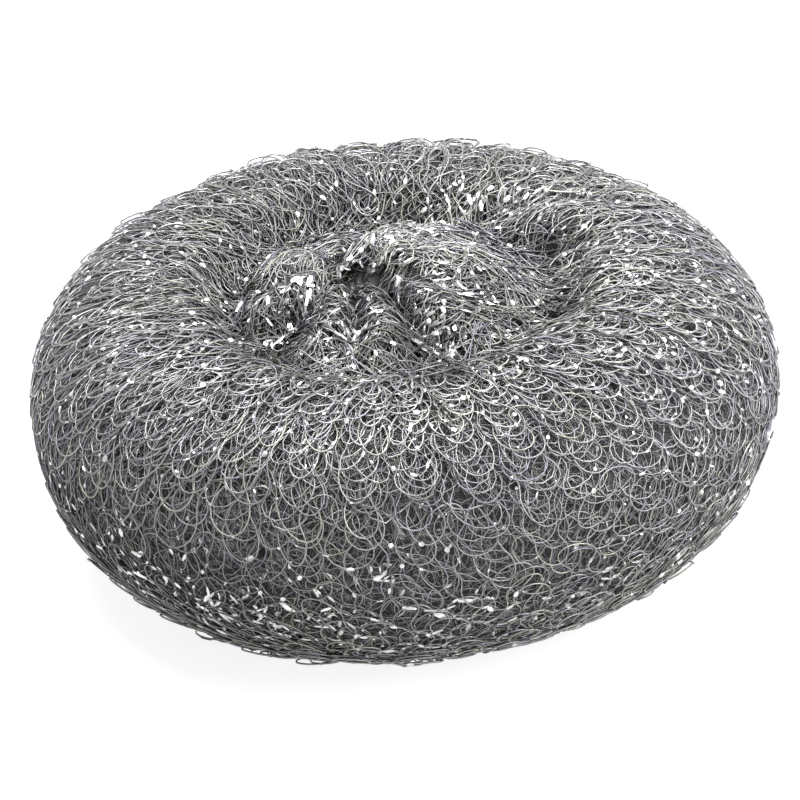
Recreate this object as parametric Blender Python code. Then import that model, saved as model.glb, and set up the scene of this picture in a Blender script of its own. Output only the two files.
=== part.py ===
"""Round scourer of knitted galvanised wire: one mesh sleeve, rolled into a pad, with both ends drawn in.

Metres, +Z up. The pad stands on z = 0 and the origin is the middle of its base.
The knit is made flat first, as a disc in relief: distance from the middle is the way along the sleeve,
from the drawn-in middle of the top, over the rim, to the middle of the underside. The disc is then wrapped
round the pad's form.
"""

import math

import bmesh
import bpy
import numpy as np
from mathutils import Matrix

MM = 0.001

# The knit in relief
WALES = 37  # columns of loops round the pad
COLUMNS_PER_WALE = 4  # on the rim, and half as many on the gathered middle and the underside
COURSE_PITCH = 4.7 * MM  # from one row of loop heads to the next on the rim
GATHER_PITCH = 4.0 * MM  # the same on the gathered middle
LOOP_BOW = 2.4 * MM  # how far each loop's head stands ahead of its legs
LOOP_RISE = 1.2 * MM  # how far a head stands proud of the form
LOOP_SINK = 0.7 * MM  # how far the knit sinks into the form beside and under a head
LOOP_UNDERCUT = 0.4 * MM  # how far a head overhangs the row below it
STRAND_RISE = 0.65 * MM  # the wales on the gathered middle, drawn out to strands, at the groove
STRAND_STEP = 0.7 * MM  # the step down at the end of each row there
UNDERSIDE_RINGS = 3  # in the dimple, between its edge and its middle

# The pad, over the loops
PAD_DIAMETER = 100.0 * MM
PAD_HEIGHT = 42.0 * MM

# The pad's form, under the loops
FORM_RADIUS = PAD_DIAMETER / 2 - LOOP_RISE
FORM_HEIGHT = PAD_HEIGHT - LOOP_RISE
BELT_HEIGHT = 23.5 * MM  # where the rim is widest
CREST_RADIUS = 28.5 * MM  # the highest ring of the top
CREST_SHIFT = -2.5 * MM  # that ring sits off centre, along Y
CREST_SHIFT_REACH = 14.0 * MM
TOP_TILT = 1.8 * MM  # the top is higher by this at the back edge, and lower at the front
BASE_RADIUS = 25.5 * MM  # outer edge of the ring that it stands on
BASE_PRESS = 0.8 * MM  # how far its own weight presses the base flat
BASE_DIMPLE_RADIUS = 12.0 * MM
BASE_DIMPLE_DEPTH = 4.5 * MM

# The gathered middle of the top: a groove round a knot, and a pit where the sleeve's end is drawn in
GROOVE_RADIUS = 19.5 * MM
GROOVE_DEPTH = 5.2 * MM
KNOT_RISE = 5.6 * MM
KNOT_ROUNDNESS = 1.1  # 1 is a cone, 2 a dome
KNOT_OFFSET = (-4.2 * MM, 1.4 * MM)  # the knot sits off centre
PIT_RADIUS = 3.3 * MM
PIT_DEPTH = 4.6 * MM

# The pleats of the gathered middle: direction in degrees from +X, half width in degrees, height
PLEAT_REACH = 22.0 * MM  # from the knot's middle to where the pleats run out
PLEATS = (
    (14.0, 34.0, 2.2 * MM),
    (-41.0, 8.0, 1.4 * MM),
    (-62.0, 9.0, -2.8 * MM),
    (-87.0, 11.0, 2.0 * MM),
    (-105.0, 6.0, -1.4 * MM),
    (-121.0, 10.0, 1.9 * MM),
    (-147.0, 9.0, -2.3 * MM),
    (-171.0, 10.0, 1.6 * MM),
    (168.0, 7.0, -1.4 * MM),
    (148.0, 9.0, 1.2 * MM),
    (126.0, 8.0, -1.2 * MM),
)

# The crease: the edge of the widest pleat, which runs on over the top to the rim and bends as it goes
CREASE_TURN = 90.0  # degrees from +X where it leaves the knot
CREASE_SWEEP = -2.05 / MM  # degrees that it bends by on its way out, for each metre
CREASE_HEIGHT = 2.0 * MM
CREASE_VALLEY = 2.2 * MM  # the sunk side, behind the fold
CREASE_WIDTH = 3.2 * MM
CREASE_FADE = (16.0 * MM, 36.0 * MM)  # the radii between which it runs out

# Slow waves of the rim, as of a pad rolled by hand: waves round the pad, phase in degrees, height
RIM_WAVES = (
    (2, 8.0, 0.6 * MM),
    (3, 11.0, 0.4 * MM),
)

PROFILE_STEPS = 96  # points in each stretch of the section
SLOPE_STEP = 0.05 * MM  # for finding the surface's slope
WELD = 0.01 * MM

COLUMNS = WALES * COLUMNS_PER_WALE


def ease(x):
    """0 to 1 with no kink at either end."""
    x = np.clip(x, 0.0, 1.0)
    return x * x * (3.0 - 2.0 * x)


def bump(x):
    """A round bump, 1 at x = 0."""
    return np.exp(-x * x)


def turn_gap(turn, degrees):
    """The angle from a direction in degrees to turn in radians, the short way round."""
    gap = turn - np.radians(degrees)
    return np.arctan2(np.sin(gap), np.cos(gap))


def top_height(radius):
    """Height of the top inside the crest: the groove, the knot and its pit."""
    groove = 1.0 - ease((radius - GROOVE_RADIUS) / (CREST_RADIUS - GROOVE_RADIUS))
    knot = 1.0 - np.clip(radius / GROOVE_RADIUS, 0.0, 1.0) ** KNOT_ROUNDNESS
    return FORM_HEIGHT - GROOVE_DEPTH * groove + KNOT_RISE * knot - PIT_DEPTH * bump(radius / PIT_RADIUS)


def section():
    """The pad's section, from the middle of the top to the middle of the base: way along, radius, height."""
    share = np.linspace(0.0, 1.0, PROFILE_STEPS)
    sine, cosine = np.sin(share * np.pi / 2), np.cos(share * np.pi / 2)
    inward = BASE_RADIUS * (1.0 - share)
    dimple = (BASE_DIMPLE_DEPTH + BASE_PRESS) * (1.0 - ease(inward / BASE_DIMPLE_RADIUS))
    radius = np.concatenate(
        (
            CREST_RADIUS * share,
            CREST_RADIUS + (FORM_RADIUS - CREST_RADIUS) * sine[1:],
            BASE_RADIUS + (FORM_RADIUS - BASE_RADIUS) * cosine[1:],
            inward[1:],
        )
    )
    height = np.concatenate(
        (
            top_height(CREST_RADIUS * share),
            BELT_HEIGHT + (FORM_HEIGHT - BELT_HEIGHT) * cosine[1:],
            BELT_HEIGHT - (BELT_HEIGHT + BASE_PRESS) * sine[1:],
            dimple[1:] - BASE_PRESS,
        )
    )
    steps = np.hypot(np.diff(radius), np.diff(height))
    return np.concatenate(([0.0], np.cumsum(steps))), radius, height


SECTION = section()
CREST_AT = SECTION[0][PROFILE_STEPS - 1]
GROOVE_AT = np.interp(GROOVE_RADIUS, SECTION[1][:PROFILE_STEPS], SECTION[0][:PROFILE_STEPS])
BASE_AT = SECTION[0][3 * PROFILE_STEPS - 3]
LOWER_RIM = slice(2 * PROFILE_STEPS, 3 * PROFILE_STEPS - 2)
FOOT_AT, CONTACT_AT = np.interp((-LOOP_RISE, 0.0), -SECTION[2][LOWER_RIM], SECTION[0][LOWER_RIM])
SLEEVE_END = SECTION[0][-1]


def pleats(turn, radius):
    """Height of the pleats round the knot."""
    heights = (height * bump(turn_gap(turn, at) / math.radians(width)) for at, width, height in PLEATS)
    return np.sin(np.pi * np.clip(radius / PLEAT_REACH, 0.0, 1.0)) * sum(heights)


def crease(turn, radius):
    """Height of the fold that runs from the knot to the rim, with its sunk side."""
    aside = radius * turn_gap(turn, CREASE_TURN + CREASE_SWEEP * radius) / CREASE_WIDTH
    start, end = CREASE_FADE
    fade = ease(radius / PIT_RADIUS - 1.0) * (1.0 - ease((radius - start) / (end - start)))
    return fade * (CREASE_HEIGHT * bump(aside) - CREASE_VALLEY * bump(aside - 1.8))


def form(turn, along):
    """Points of the pad's form at directions round it and distances along the sleeve."""
    radius, height = (np.interp(along, SECTION[0], values) for values in SECTION[1:])
    waves = sum(rise * np.cos(count * turn + math.radians(phase)) for count, phase, rise in RIM_WAVES)
    radius = radius + waves * ease(radius / CREST_RADIUS)
    on_top = along < BASE_AT
    height = height + on_top * (height / FORM_HEIGHT) * (pleats(turn, radius) + crease(turn, radius))
    in_knot = 1.0 - ease(along / CREST_AT)
    shift = CREST_SHIFT * bump((along - CREST_AT) / CREST_SHIFT_REACH)
    x = radius * np.cos(turn) + in_knot * KNOT_OFFSET[0]
    y = radius * np.sin(turn) + in_knot * KNOT_OFFSET[1] + shift
    return np.stack((x, y, height + TOP_TILT * (y / FORM_RADIUS) * (height / FORM_HEIGHT)), axis=-1)


def form_normals(turn, along):
    """Outward normals of the form there."""
    along = np.clip(along, SLOPE_STEP, SLEEVE_END - SLOPE_STEP)
    down = form(turn, along + SLOPE_STEP) - form(turn, along - SLOPE_STEP)
    across = form(turn + SLOPE_STEP / PIT_RADIUS, along) - form(turn - SLOPE_STEP / PIT_RADIUS, along)
    normals = np.cross(down, across)
    return normals / np.linalg.norm(normals, axis=-1, keepdims=True)


def head_share(turn):
    """1 in the middle of a loop's head, falling off round the head to 0 between two heads."""
    return abs(math.cos(turn * WALES / 2))


def add_ring(bm, place):
    """Extrudes the free ring of edges and puts each new vertex at place(turn) = (along, rise)."""
    free = [edge for edge in bm.edges if edge.is_boundary]
    made = bmesh.ops.extrude_edge_only(bm, edges=free)["geom"]
    for vertex in (item for item in made if isinstance(item, bmesh.types.BMVert)):
        turn = math.atan2(vertex.co.y, vertex.co.x)
        along, rise = place(turn)
        vertex.co = (along * math.cos(turn), along * math.sin(turn), rise)


def double_columns(bm):
    """Splits each edge of the free ring, for a stretch with twice the columns."""
    bmesh.ops.subdivide_edges(bm, edges=[edge for edge in bm.edges if edge.is_boundary], cuts=1)


def halve_columns(bm, along):
    """Extrudes the free ring to a ring with every second vertex drawn into its neighbour."""
    add_ring(bm, lambda turn: (along, 0.0))
    ring = {vertex for edge in bm.edges if edge.is_boundary for vertex in edge.verts}
    ring = sorted(ring, key=lambda vertex: math.atan2(vertex.co.y, vertex.co.x) % math.tau)
    bmesh.ops.weld_verts(bm, targetmap=dict(zip(ring[1::2], ring[0::2])))


def strand(turn, rise):
    """Relief of a wale that is drawn out to a strand: up by rise along its middle, down between two."""
    return rise * (2.0 * head_share(turn) - 1.0)


def gathered_row(bm, at):
    """A row of loops drawn out to strands: a raised ring, and the step down behind it."""
    size = at / GROOVE_AT
    for along, step in ((at, STRAND_STEP / 2), (at + LOOP_UNDERCUT, -STRAND_STEP / 2)):
        add_ring(bm, lambda turn, along=along, step=step: (along, size * (strand(turn, STRAND_RISE) + step)))


def rim_row(bm, at):
    """A row of loops on the rim: the bowed heads, and the step under them."""

    def lip(turn):
        rise = (LOOP_RISE + LOOP_SINK) * head_share(turn) - LOOP_SINK
        return at + LOOP_BOW * (head_share(turn) - 0.5), rise

    def foot(turn):
        return lip(turn)[0] - LOOP_UNDERCUT * (head_share(turn) - 0.5), -LOOP_SINK

    add_ring(bm, lip)
    add_ring(bm, foot)


def flat_knit(bm):
    """The knit as a flat disc in relief, ring by ring from the top's middle to the base's middle."""
    columns = COLUMNS // 2
    first_column = Matrix.Rotation(-math.pi / 2, 4, "Z")
    bmesh.ops.create_circle(
        bm, cap_ends=True, cap_tris=True, radius=PIT_RADIUS / 2, segments=columns, matrix=first_column
    )
    rows = max(round((GROOVE_AT - PIT_RADIUS) / GATHER_PITCH), 1)
    for at in np.linspace(PIT_RADIUS, GROOVE_AT, rows, endpoint=False):
        gathered_row(bm, at)
    add_ring(bm, lambda turn: (GROOVE_AT, 0.0))
    double_columns(bm)

    rim_start, rim_end = GROOVE_AT + LOOP_BOW, FOOT_AT - LOOP_BOW / 2
    rows = max(round((rim_end - rim_start) / COURSE_PITCH), 1)
    for at in np.linspace(rim_start, rim_end, rows + 1):
        rim_row(bm, at)

    halve_columns(bm, CONTACT_AT)
    dimple_at = SLEEVE_END - BASE_DIMPLE_RADIUS
    for at in (BASE_AT, dimple_at):
        add_ring(bm, lambda turn, at=at: (at, 0.0))
    for at in np.linspace(dimple_at, SLEEVE_END, UNDERSIDE_RINGS + 2)[1:]:
        rise = STRAND_RISE * (SLEEVE_END - at) / BASE_DIMPLE_RADIUS
        add_ring(bm, lambda turn, at=at, rise=rise: (at, strand(turn, rise)))
    bmesh.ops.triangulate(bm, faces=bm.faces)


def wrap(bm):
    """Wraps the flat knit round the form, flat where it stands, with the origin under its box's middle."""
    flat = np.array([vertex.co for vertex in bm.verts])
    turn, along = np.arctan2(flat[:, 1], flat[:, 0]), np.hypot(flat[:, 0], flat[:, 1])
    points = form(turn, along) + form_normals(turn, along) * flat[:, 2:]
    points[:, 2] = np.maximum(points[:, 2], 0.0)
    points[:, :2] -= (points[:, :2].min(axis=0) + points[:, :2].max(axis=0)) / 2
    for vertex, point in zip(bm.verts, points):
        vertex.co = point
    bmesh.ops.remove_doubles(bm, verts=bm.verts, dist=WELD)


def galvanised_wire():
    """Galvanised steel wire: bright grey, a little dull."""
    material = bpy.data.materials.new("galvanised_wire")
    material.use_nodes = True
    shader = material.node_tree.nodes["Principled BSDF"]
    shader.inputs["Base Color"].default_value = (0.42, 0.42, 0.42, 1.0)
    shader.inputs["Metallic"].default_value = 1.0
    shader.inputs["Roughness"].default_value = 0.32
    return material


def knitted_pad():
    """The whole scourer, which is one piece of knitted mesh."""
    bm = bmesh.new()
    flat_knit(bm)
    wrap(bm)
    bmesh.ops.recalc_face_normals(bm, faces=bm.faces)
    mesh = bpy.data.meshes.new("knitted_wire_pad")
    bm.to_mesh(mesh)
    bm.free()
    mesh.materials.append(galvanised_wire())
    mesh.shade_smooth()
    mesh.set_sharp_from_angle(angle=math.radians(50.0))
    bpy.context.scene.collection.objects.link(bpy.data.objects.new("knitted_wire_pad", mesh))


def main():
    for obj in list(bpy.data.objects):
        bpy.data.objects.remove(obj)
    knitted_pad()


main()
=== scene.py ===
"""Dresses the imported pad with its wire: nine layers of knit over a dark core, drawn in at both ends.

Each layer is one wire, knitted flat in stitches and courses, and then wound round the pad's form as a spiral.
Metres, +Z up. A turn is a direction round the pad from +X, and along is a distance along the sleeve of knit, from
the middle of the top over the rim to the middle of the base.
"""

import math
from typing import NamedTuple

import bmesh
import bpy
import numpy as np
from mathutils import Matrix, Vector


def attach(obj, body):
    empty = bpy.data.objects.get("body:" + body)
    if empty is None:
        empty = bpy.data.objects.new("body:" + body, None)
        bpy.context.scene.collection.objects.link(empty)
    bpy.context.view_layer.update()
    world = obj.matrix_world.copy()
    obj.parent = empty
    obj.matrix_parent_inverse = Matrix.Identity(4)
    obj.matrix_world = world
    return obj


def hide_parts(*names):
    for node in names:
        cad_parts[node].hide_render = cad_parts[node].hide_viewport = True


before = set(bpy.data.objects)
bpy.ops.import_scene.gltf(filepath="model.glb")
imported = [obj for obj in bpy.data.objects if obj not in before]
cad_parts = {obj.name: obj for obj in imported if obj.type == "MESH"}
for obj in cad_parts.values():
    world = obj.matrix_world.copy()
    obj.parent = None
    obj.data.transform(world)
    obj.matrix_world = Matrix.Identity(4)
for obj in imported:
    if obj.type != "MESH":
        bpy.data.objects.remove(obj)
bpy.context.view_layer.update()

bl_info = {
    "name": "Knitted wire scourer",
    "version": (1, 0, 0),
    "blender": (4, 5, 0),
    "location": "View3D > Sidebar > Scourer",
    "description": "Knits a round wire scourer and sets it on a pale floor",
    "category": "Add Mesh",
}

MM = 0.001
PAD_NODE = "knitted_wire_pad"

# The pad's form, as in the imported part
LOOP_RISE = 1.2 * MM
FORM_RADIUS = 50.0 * MM - LOOP_RISE
FORM_HEIGHT = 42.0 * MM - LOOP_RISE
BELT_HEIGHT = 23.5 * MM
CREST_RADIUS = 28.5 * MM
CREST_SHIFT = -2.5 * MM
CREST_SHIFT_REACH = 14.0 * MM
TOP_TILT = 1.8 * MM
BASE_RADIUS = 25.5 * MM
BASE_PRESS = 0.8 * MM
BASE_DIMPLE_RADIUS = 12.0 * MM
BASE_DIMPLE_DEPTH = 4.5 * MM
GROOVE_RADIUS = 19.5 * MM
GROOVE_DEPTH = 5.2 * MM
KNOT_RISE = 5.6 * MM
KNOT_ROUNDNESS = 1.1
KNOT_OFFSET = (-4.2 * MM, 1.4 * MM)
PIT_RADIUS = 3.3 * MM
PIT_DEPTH = 4.6 * MM

# The pleats of the gathered middle: direction in degrees from +X, half width in degrees, height in mm. The valley
# at -105 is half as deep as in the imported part
PLEAT_REACH = 22.0 * MM
PLEATS = (
    (14, 34, 2.2),
    (-41, 8, 1.4),
    (-62, 9, -2.8),
    (-87, 11, 2.0),
    (-105, 6, -0.7),
    (-121, 10, 1.9),
    (-147, 9, -2.3),
    (-171, 10, 1.6),
    (168, 7, -1.4),
    (148, 9, 1.2),
    (126, 8, -1.2),
)
CREASE_TURN = 90.0
CREASE_SWEEP = -2.05 / MM
CREASE_HEIGHT = 2.0 * MM
CREASE_VALLEY = 2.2 * MM
CREASE_VALLEY_ASIDE = 1.8
CREASE_WIDTH = 3.2 * MM
CREASE_FADE = (16.0 * MM, 36.0 * MM)

# Slow waves of the rim: waves round the pad, phase in degrees, height
RIM_WAVES = ((2, 8, 0.6 * MM), (3, 11, 0.4 * MM))

PROFILE_STEPS = 96
SLOPE_STEP = 0.05 * MM
WELD = 0.002 * MM

# The core under the knit: its rows, its columns for each column of loops, and how far it stays from both middles
# and from the floor
CORE_ROWS = 89
CORE_COLUMNS = 3
CORE_MARGIN = 0.5 * MM
CORE_CLEARANCE = 0.3 * MM

# The sleeve: its first and last courses, the room that they keep from its ends, and the edge of the pit
FIRST_COURSE = 5.4 * MM
LAST_COURSE = 2.2 * MM
SLEEVE_MARGIN = 2.4 * MM
PIT_EDGE = 3.2 * MM
NARROWEST_RING = 4.0 * MM

# The layers from the outermost in, two and two nested in each other: height over the form in mm, steps in each stitch
LAYERS = (
    (0.6, 12),
    (0.45, 12),
    (0.25, 8),
    (0.08, 8),
    (-0.1, 8),
    (-0.3, 6),
    (-0.5, 6),
    (-0.75, 6),
    (-1.0, 6),
)
OUTER_PAIRS = 2
OUTER_TILT = 0.9
PAIR_PHASE, PLY_PHASE = 0.7549, 0.2
PAIR_LAG, PLY_LAG = 0.5698, 0.34
PAIR_SKEW = 0.05
LOOSENESS, PAIR_LOOSENING = 0.85, 0.2
PAIR_FINING = 0.04

# How the wire wavers: key of the random draws, spread, fresh values in each stitch, and the share that is a layer's
# own and not its pair's
WAVERS = {
    "length": (1, 0.2, 1, 0.5),
    "along": (2, 0.7 * MM, 1, 0.5),
    "aside": (3, 1.2 * MM, 1, 0.5),
    "lift": (4, 0.25 * MM, 1, 0.6),
    "roll": (5, 1.0, 7, 1.0),
    "shade": (6, 1.0, 1, 1.0),
    "kink_aside": (7, 0.6 * MM, 5, 1.0),
    "tilt": (8, 0.1, 1, 0.5),
    "curl": (9, 0.5, 1, 0.5),
    "kink_along": (11, 1.0 * MM, 4, 1.0),
    "lean": (12, 0.45, 1, 0.5),
    "droop": (13, 0.3, 1, 0.5),
    "width": (14, 0.25, 1, 0.5),
    "kink_up": (15, 0.45 * MM, 5, 1.0),
    "course": (16, 1.1 * MM, 1, 0.5),
}
FLAT_DRAWS = 20
PATH_STEP = 0.002

# How crowding changes the loops, and their width and length in the knot, drawn out and with what curling adds
WIDEST_CROWD = 3.0
CROWD_WIDENING = 0.28
CROWD_SHORTENING = 0.12
KNOT_END = 12.0 * MM
KNOT_BLEND = 9.0 * MM
KNOT_WIDTH, KNOT_CURL_WIDTH = 1.2, 1.8
KNOT_LENGTH, KNOT_CURL_LENGTH = 0.72, -0.35
KNOT_CURL = 0.75

# How the wire is drawn together along the crease and the raised pleats, with reaches in their own widths
CREASE_PULL, CREASE_PULL_REACH = 0.75, 1.7
PLEAT_PULL, PLEAT_PULL_REACH = 0.1, 1.3
WIDEST_PULLED = 20.0

# The gathered wire inside the groove, and how much more it wavers
GATHER_END = GROOVE_RADIUS + 4.0 * MM
GATHER_FADE = 10.0 * MM
GATHER_KINKS = (0.35, 3.0)
GATHER_LEAN = 1.6

# How the loops change on the shoulder, one reach out from the crest, on the right and low on the left
SHOULDER_REACH = 9.0 * MM
SHOULDER_NARROWING, SHOULDER_LENGTHENING = 0.38, 0.14
RIGHT_WIDENING, RIGHT_SHORTENING = 0.2, 0.2
LOW_LEFT_NARROWING, LOW_LEFT_SHORTENING = 0.22, 0.14
LOW_LEFT_FADE = (9.0 * MM, 8.0 * MM)

# Directions in degrees of the pad's sides, and how sharply a side ends
RIGHT, FRONT, FRONT_LEFT = 0.0, -90.0, -135.0
SIDE_SLOPE = 0.9

# How the loops' tilt changes: past the belt it turns over, on the crest it wavers, and in the groove they droop
BELT_TILT_TURN, BELT_TILT_FADE = 1.7, (10.0 * MM, 24.0 * MM)
CREST_TILT_WAVER, CREST_REACH = 2.5, 8.0 * MM
DROOP, DROOP_AT, DROOP_REACH = 0.3, 24.0 * MM, 5.0 * MM

# The ribbon's twist, which is less low down: shares of the pad's height where it starts to fall and over which
TWIST_FADE, LOW_TWIST_LOSS = (0.9, 0.3), 0.5

# Wire this high over the form gets none of the painted shade of depth, and wire this low gets all of it
HIGH_WIRE = 0.9 * MM
DEEP_WIRE = -1.2 * MM

# Painted shade on the wire's colour: how much each mask darkens it, and where the masks lie
# Pit, groove and valleys stand for shade in the pad's hollows; the others darken given places and the deeper layers
PAINTED_SHADES = {
    "pit": 1.0,
    "groove": 0.3,
    "valleys": 0.45,
    "low_left": 0.55,
    "dark_spots": 0.75,
    "knot_front": 0.4,
    "front_crest": 0.25,
    "deep_knit": 0.66,
}
# Painted highlight at the bright spots: how much of the painted shade they take away
BRIGHT_SPOT_SHINE = 0.25
PIT_SHADE_REACH, PIT_SHADE_ASIDE, PIT_SHADE_LENGTH = 3.4 * MM, 4.2 * MM, 1.5
GROOVE_SHADE_REACH = 4.5 * MM
# On raised pleats and the fold the valleys' mask turns negative and lightens the wire, a painted highlight
RAISED_SHINE = -0.3
LOW_SHADE_FADE, LOW_SHADE_LEFT = (6.0 * MM, 9.0 * MM), (0.25, 60.0 * MM)
FRONT_CREST_AT, FRONT_CREST_REACH = 25.0 * MM, 6.0 * MM
KNOT_FRONT_END, KNOT_FRONT_FADE = 21.0 * MM, 4.0 * MM

# The turned flats of wire: places tried in each stitch, the chance of a flat by region, the layers that have them,
# half their length, width and thickness, how those spread, and how far they stand out
# The flats' colour, lighter than the wire's, is a painted glint
FLAT_TRIES = 6.0
FLAT_CHANCES = {
    "anywhere": 0.07,
    "open_top": 0.3,
    "gathers": 0.45,
    "bright_spots": 0.6,
    "low_heads": 1.0,
    "right_rim": 0.25,
    "low_left": 0.28,
    "front_crest": 0.2,
}
FLAT_LAYERS = 5
FLAT_SIZE = (0.36 * MM, 0.25 * MM, 0.07 * MM)
FLAT_SPREAD = (0.5, 1.5)
FLAT_LIFT, FLAT_EXTRA_LIFT = 0.1 * MM, 0.07 * MM
FLAT_ROLL, DRAWN_OUT_STEADIER, LOW_STEADIER = 1.4, 0.7, 0.8
DRAWN_OUT_LONGER, LOW_HEAD_LONGER, LOW_LEFT_LONGER = 0.7, 1.3, 0.9
FLATS_LOST_IN_DARK = 0.8
TOP_FLATS_FADE = (10.0 * MM, 14.0 * MM)
KNOT_FLATS_FADE = (9.0 * MM, 7.0 * MM)
LOW_HEAD_SHARE, LOW_HEAD_PAST_BASE, LOW_HEAD_TOP = 0.12, 4.0 * MM, 17.0 * MM
RIGHT_RIM_FADE = (20.0 * MM, 20.0 * MM)
LOW_FLATS_FADE, LOW_FLATS_LEFT = (3.0 * MM, 6.0 * MM), (0.5, 50.0 * MM)
CREST_FLATS_REACH = 6.0 * MM

# Places of painted highlight and of painted shade on the wire, which also guide the flats: direction in degrees from
# +X as seen from the knot, distance from it in mm, reach in mm
BRIGHT_SPOTS = (
    (82, 4.2, 1.5),
    (38, 4.2, 1.5),
    (40, 8.7, 2.0),
    (46, 12.4, 2.2),
    (52, 16.5, 2.2),
    (56, 20.6, 2.2),
    (49, 23.4, 2.2),
    (41, 25.7, 2.2),
    (33, 28.6, 2.0),
    (-41, 6.1, 1.5),
    (-54, 11.8, 1.5),
    (-57, 15.2, 1.5),
    (-57, 18.8, 1.5),
    (-79, 13.7, 1.3),
    (-94, 13.5, 1.6),
    (-107, 12.7, 1.8),
    (-112, 16.6, 1.6),
    (-103, 19.6, 1.8),
    (-150, 8.0, 1.8),
)
DARK_SPOTS = (
    (-76, 16.8, 2.6),
    (-71, 21.0, 3.2),
    (-69, 26.0, 3.0),
    (-71, 31.5, 2.6),
    (-58, 30.0, 2.2),
    (-126, 20.0, 2.4),
    (-148, 14.2, 2.2),
    (-150, 17.3, 2.2),
    (174, 15.4, 1.8),
    (-19, 27.0, 2.2),
    (12, 26.0, 2.2),
)

# Tints of the wire from stitch to stitch, as shares of its colour; the share left of it under the fullest painted
# shade, as deep in the pad; and the painted shade between the deep arcs, as a share of the deep wire's colour
WIRE_TINTS = (
    (0.0, (0.74, 0.76, 0.86)),
    (0.3, (0.92, 0.91, 0.95)),
    (0.65, (1.03, 1.04, 1.01)),
    (1.0, (1.13, 1.12, 0.97)),
)
PAINTED_SHADE_TINT = (0.22, 0.22, 0.223)
PAINTED_GAP_SHADE = 0.12

# The nests of arcs deep in the pad: scale, arcs in a nest, thickness of an arc
ARC_NESTS = ((190.0, 4.0, 0.14), (270.0, 3.0, 0.12), (350.0, 2.6, 0.12))

# The stage: the floor, the lamps with the settings that hold their power, the camera, and the pixel that its
# target falls on
FLOOR_REACH = 6.0
FLOOR_TONE = 0.3
FLOOR_GLOW = 0.85
LAMP_SIZE = 0.6
LAMPS = (("key_light", "key_power", (-0.08, 0.12, 0.86)), ("side_light", "side_power", (0.65, -0.25, 0.45)))
CAMERA_ELEVATION = 29.2
CAMERA_ROLL = 3.9
CAMERA_DISTANCE = 1.0
CAMERA_TARGET = Vector((0.0, 0.0, 21.0 * MM))
SENSOR_WIDTH = 36.0
FRAME_PIXELS = 800
TARGET_PIXEL = (405.0, 397.8)
PIXELS_PER_METRE = 7432.0


def ease(x):
    """0 to 1 with no kink at either end."""
    x = np.clip(x, 0.0, 1.0)
    return x * x * (3.0 - 2.0 * x)


def bump(x):
    """A round bump, 1 at x = 0."""
    return np.exp(-x * x)


def unit(vectors):
    """The same directions with length 1."""
    return vectors / np.maximum(np.linalg.norm(vectors, axis=-1, keepdims=True), 1e-12)


def turn_gap(turn, degrees):
    """The angle from a direction in degrees to turn in radians, the short way round."""
    gap = turn - np.radians(degrees)
    return np.arctan2(np.sin(gap), np.cos(gap))


def on_side(turn, degrees, share=0.5):
    """1 on the side of the pad that faces a direction in degrees, 0 on the far side."""
    return ease(share + SIDE_SLOPE * np.cos(turn - math.radians(degrees)))


def round_knot(points):
    """Directions and distances of points as seen from the knot."""
    x, y = (points[:, :2] - KNOT_OFFSET).T
    return np.arctan2(y, x), np.hypot(x, y)


def top_height(radius):
    """Height of the top inside the crest: the groove, the knot and its pit."""
    groove = 1.0 - ease((radius - GROOVE_RADIUS) / (CREST_RADIUS - GROOVE_RADIUS))
    knot = 1.0 - np.clip(radius / GROOVE_RADIUS, 0.0, 1.0) ** KNOT_ROUNDNESS
    return FORM_HEIGHT - GROOVE_DEPTH * groove + KNOT_RISE * knot - PIT_DEPTH * bump(radius / PIT_RADIUS)


def section():
    """The pad's section, from the middle of the top to the middle of the base: way along, radius, height."""
    share = np.linspace(0.0, 1.0, PROFILE_STEPS)
    sine, cosine = np.sin(share * np.pi / 2), np.cos(share * np.pi / 2)
    inward = BASE_RADIUS * (1.0 - share)
    dimple = (BASE_DIMPLE_DEPTH + BASE_PRESS) * (1.0 - ease(inward / BASE_DIMPLE_RADIUS))
    parts = (
        (CREST_RADIUS * share, top_height(CREST_RADIUS * share)),
        (CREST_RADIUS + (FORM_RADIUS - CREST_RADIUS) * sine, BELT_HEIGHT + (FORM_HEIGHT - BELT_HEIGHT) * cosine),
        (BASE_RADIUS + (FORM_RADIUS - BASE_RADIUS) * cosine, BELT_HEIGHT - (BELT_HEIGHT + BASE_PRESS) * sine),
        (inward, dimple - BASE_PRESS),
    )
    first, *others = map(np.array, parts)
    radius, height = np.hstack((first, *(part[:, 1:] for part in others)))
    steps = np.hypot(np.diff(radius), np.diff(height))
    return np.concatenate(([0.0], np.cumsum(steps))), radius, height


SECTION = section()
CREST_AT = SECTION[0][PROFILE_STEPS - 1]
BELT_AT = SECTION[0][2 * PROFILE_STEPS - 2]
BASE_AT = SECTION[0][3 * PROFILE_STEPS - 3]
SLEEVE_END = SECTION[0][-1]
SHOULDER_AT = CREST_AT + SHOULDER_REACH


def ring_radius(along):
    """Radius of the form's section at distances along the sleeve."""
    return np.interp(along, *SECTION[:2])


def pleats(turn, radius):
    """Height of the pleats round the knot."""
    heights = (height * MM * bump(turn_gap(turn, at) / math.radians(width)) for at, width, height in PLEATS)
    return pleat_reach(radius) * sum(heights)


def pleat_reach(radius):
    """0 in the knot's middle, 1 halfway out, 0 where the pleats end."""
    return np.sin(np.pi * np.clip(radius / PLEAT_REACH, 0.0, 1.0))


def crease_gap(turn, radius):
    """The angle from the line of the fold to turn at a radius."""
    return turn_gap(turn, CREASE_TURN + CREASE_SWEEP * radius)


def crease_fade(radius):
    """1 along the fold, 0 in the pit and past the fold's end."""
    start, end = CREASE_FADE
    return ease(radius / PIT_RADIUS - 1.0) * (1.0 - ease((radius - start) / (end - start)))


def crease(turn, radius):
    """Height of the fold that runs from the knot to the rim, with its sunk side."""
    aside = radius * crease_gap(turn, radius) / CREASE_WIDTH
    valley = CREASE_VALLEY * bump(aside - CREASE_VALLEY_ASIDE)
    return crease_fade(radius) * (CREASE_HEIGHT * bump(aside) - valley)


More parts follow.
